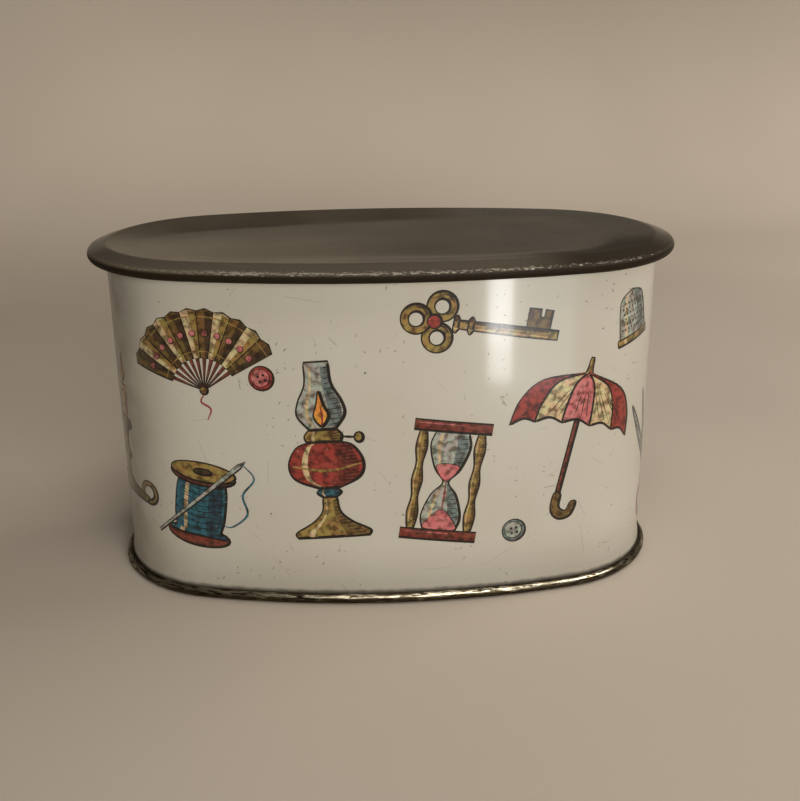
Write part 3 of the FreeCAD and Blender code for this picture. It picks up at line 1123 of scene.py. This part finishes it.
def placed(piece, body, slot, *nodes):
    """Piece that moves with a body and stands for the nodes, which it hides; the slot is not used."""
    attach(piece, body)
    if nodes:
        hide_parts(*nodes)


def bell(value, middle, reach):
    """1 at the middle, falling smoothly to 0 on both sides."""
    return math.exp(-(((value - middle) / reach) ** 2))


# Where metal is rubbed bare: outside the wall, about a height, and on the rim most of all at the front.  On
# the bead that height is where its highlight falls, so the band there is partly a painted highlight.
WEAR_FROM = 1.0
BEAD_HIGHLIGHT_HEIGHT = 2.2
BEAD_HIGHLIGHT_REACH = 0.5
RIM_WEAR_HEIGHT = 88.0
RIM_WEAR_REACH = 0.8
RIM_WEAR_LENGTH = 140.0


# Bead band: partly rubbed tin, partly a painted highlight
def bead_wear_and_highlight(s, out, z):
    return bell(z, BEAD_HIGHLIGHT_HEIGHT, BEAD_HIGHLIGHT_REACH) * (out > WEAR_FROM)


def rim_wear(s, out, z):
    return bell(z, RIM_WEAR_HEIGHT, RIM_WEAR_REACH) * bell(s, 0, RIM_WEAR_LENGTH) * (out > WEAR_FROM)


inner_tin = bright_tin("inner_tin", colour(196, 186, 164), colour(170, 157, 130))
collar_tin = bright_tin("collar_tin", colour(200, 192, 174), colour(164, 150, 124))
enamelled = enamel()
lacquered = lacquer()
tarnished = tarnished_tin()

shell, normals = wall_shell(0, 1)
wall = new_piece("printed_wall", shell, [enamelled, inner_tin], normals=normals)
placed(wall, "box", "printed_enamel", "body_wall")

seam = new_piece("side_seam", seam_shell(), [inner_tin])
placed(seam, "box", "bright_tin")

base = new_piece("rolled_base", plate(base_line(), 1, 0), [tarnished, inner_tin], wear_and_highlight=bead_wear_and_highlight)
placed(base, "box", "tarnished_tin", "base_panel")

cover = new_piece("dished_lid", twisted(plate(lid_line(), 0, 1)), [lacquered, inner_tin], wear_and_highlight=rim_wear)
placed(cover, "lid", "dark_lacquer", "lid_cover")

collar = new_piece("lid_plug", twisted(band(collar_line(), 0, 0)), [collar_tin])
placed(collar, "lid", "bright_tin", "lid_collar")


# Stage: pale floor that rises into a backdrop
FLOOR_HALF = 900.0
FLOOR_BACK = 420.0
BACKDROP_BEND = 160.0
BACKDROP_TOP = 250.0
BEND_ANGLES = range(0, 91, 6)
FLOOR = colour(197, 184, 167)
FLOOR_CLOUD = colour(188, 175, 158)
SHADED_BACKDROP = colour(162, 152, 137)


def floor_paint():
    paint = Paint("pale_floor", Roughness=0.9, Specular_IOR_Level=0.1)
    cloud = paint.span(paint.noise(paint.place, 260, 2.0), 0.3, 0.7)
    low = paint.mix(cloud, FLOOR, FLOOR_CLOUD)
    _, _, height = paint.parts(paint.place)
    # Painted shade: floor colour darkening into the backdrop towards its top
    paint.link("Base Color", paint.mix(paint.span(height, 20, 220), low, SHADED_BACKDROP))
    return paint.material


def backdrop():
    """Floor and backdrop in one bent sheet."""
    line = [(-FLOOR_HALF, 0)]
    for degrees in BEND_ANGLES:
        angle = math.radians(degrees)
        line.append((FLOOR_BACK + BACKDROP_BEND * math.sin(angle), BACKDROP_BEND * (1 - math.cos(angle))))
    line.append((FLOOR_BACK + BACKDROP_BEND, BACKDROP_TOP))
    vertices = [Vector((x, y, z)) * MM for y, z in line for x in (-FLOOR_HALF, FLOOR_HALF)]
    faces = [(2 * i, 2 * i + 1, 2 * i + 3, 2 * i + 2) for i in range(len(line) - 1)]
    mesh = bpy.data.meshes.new("floor")
    mesh.from_pydata(vertices, [], faces)
    mesh.materials.append(floor_paint())
    mesh.shade_smooth()
    made = bpy.data.objects.new("floor", mesh)
    bpy.context.scene.collection.objects.link(made)


# Tints of the lamps
SOFT_WHITE = (1.0, 0.98, 0.95)
WARM_WHITE = (1.0, 0.97, 0.93)
CREAM = (1.0, 0.96, 0.9)
AMBER = (1.0, 0.95, 0.9)
COOL_WHITE = (0.98, 1.0, 1.0)
PALE_BLUE = (0.84, 0.95, 1.0)
SURROUND = colour(150, 142, 130)


def softbox(name, place, target, size, power, tint, lights=True, shows=True, spread=180):
    """Soft lamp at a place, facing a target.

    It lights mat surfaces, shows in glossy ones, or both.  A small spread keeps its light near its axis."""
    lamp = bpy.data.lights.new(name, "AREA")
    lamp.shape = "RECTANGLE"
    lamp.size, lamp.size_y = (side * MM for side in size)
    lamp.energy = power
    lamp.spread = math.radians(spread)
    lamp.color = tint
    made = bpy.data.objects.new(name, lamp)
    made.visible_diffuse = lights
    made.visible_glossy = shows
    made.location = Vector(place) * MM
    made.rotation_euler = (Vector(target) - Vector(place)).to_track_quat("-Z", "Y").to_euler()
    bpy.context.scene.collection.objects.link(made)


# Camera: distance and direction from the origin, then its own turns, fitted to the photograph's outlines
IMAGE_WIDTH = 800
FOCAL_PIXELS = 1105.68
SENSOR_WIDTH = 36.0
CAMERA_DISTANCE = 324.46
CAMERA_AZIMUTH = -1.56
CAMERA_ELEVATION = 27.04
CAMERA_YAW = 0.78
CAMERA_PITCH = 7.03
CAMERA_ROLL = -0.97


def add_camera():
    azimuth, elevation = math.radians(CAMERA_AZIMUTH), math.radians(CAMERA_ELEVATION)
    yaw, pitch, roll = (math.radians(a) for a in (CAMERA_YAW, CAMERA_PITCH, CAMERA_ROLL))
    level = math.cos(elevation)
    towards = Vector((math.sin(azimuth) * level, -math.cos(azimuth) * level, math.sin(elevation)))
    place = CAMERA_DISTANCE * towards
    ahead = -place.normalized()
    right = ahead.cross(Vector((0, 0, 1))).normalized()
    up = right.cross(ahead)
    ahead = (ahead * math.cos(yaw) + right * math.sin(yaw)) * math.cos(pitch) + up * math.sin(pitch)
    right = ahead.cross(up).normalized()
    up = right.cross(ahead)
    right, up = right * math.cos(roll) + up * math.sin(roll), up * math.cos(roll) - right * math.sin(roll)
    data = bpy.data.cameras.new("camera")
    data.sensor_fit = "HORIZONTAL"
    data.sensor_width = SENSOR_WIDTH
    data.lens = FOCAL_PIXELS / IMAGE_WIDTH * SENSOR_WIDTH
    data.clip_start, data.clip_end = 0.01, 10.0
    camera = bpy.data.objects.new("camera", data)
    turned = Matrix((right, up, -ahead)).transposed().to_4x4()
    camera.matrix_world = Matrix.Translation(place * MM) @ turned
    bpy.context.scene.collection.objects.link(camera)
    bpy.context.scene.camera = camera


def light_world(tint, strength):
    world = bpy.data.worlds.new("studio")
    world.use_nodes = True
    sky = world.node_tree.nodes["Background"]
    sky.inputs["Color"].default_value = tint
    sky.inputs["Strength"].default_value = strength
    bpy.context.scene.world = world


backdrop()

# Lamps that light the part and the floor
softbox("front", (185, -630, 190), (0, 0, 60), (340, 320), 0.8, SOFT_WHITE, shows=False, spread=80)
softbox("side", (680, 160, 400), (0, 360, 70), (500, 500), 3.6, WARM_WHITE, shows=False)
softbox("overhead", (40, -240, 640), (0, -40, 40), (300, 200), 0.9, WARM_WHITE)
softbox("backdrop_left", (-230, 430, 370), (-230, 578, 240), (120, 120), 0.32, CREAM)
softbox("back_right", (200, 540, 350), (40, 0, 88), (280, 160), 0.04, AMBER)

# Lamps that only show in glossy surfaces: two along the rolled seam, then a window's light in the varnish
softbox("strip_front", (85, -430, 336), (0, -38, 2), (320, 240), 1.7, WARM_WHITE, lights=False)
softbox("strip_side", (352, -187, 334), (40, -30, 2), (320, 240), 1.7, WARM_WHITE, lights=False)
softbox("window", (94, -190, 34), (28, -34, 78), (20, 34), 0.032, COOL_WHITE, lights=False)
softbox("window_foot", (94, -190, 9), (28, -34, 66), (20, 15), 0.01, COOL_WHITE, lights=False)
softbox("window_haze", (118, -176, 26), (34, -34, 74), (66, 56), 0.02, PALE_BLUE, lights=False)
light_world(SURROUND, 0.23)

add_camera()
bpy.context.scene.view_settings.view_transform = "Standard"

bpy.context.view_layer.update()
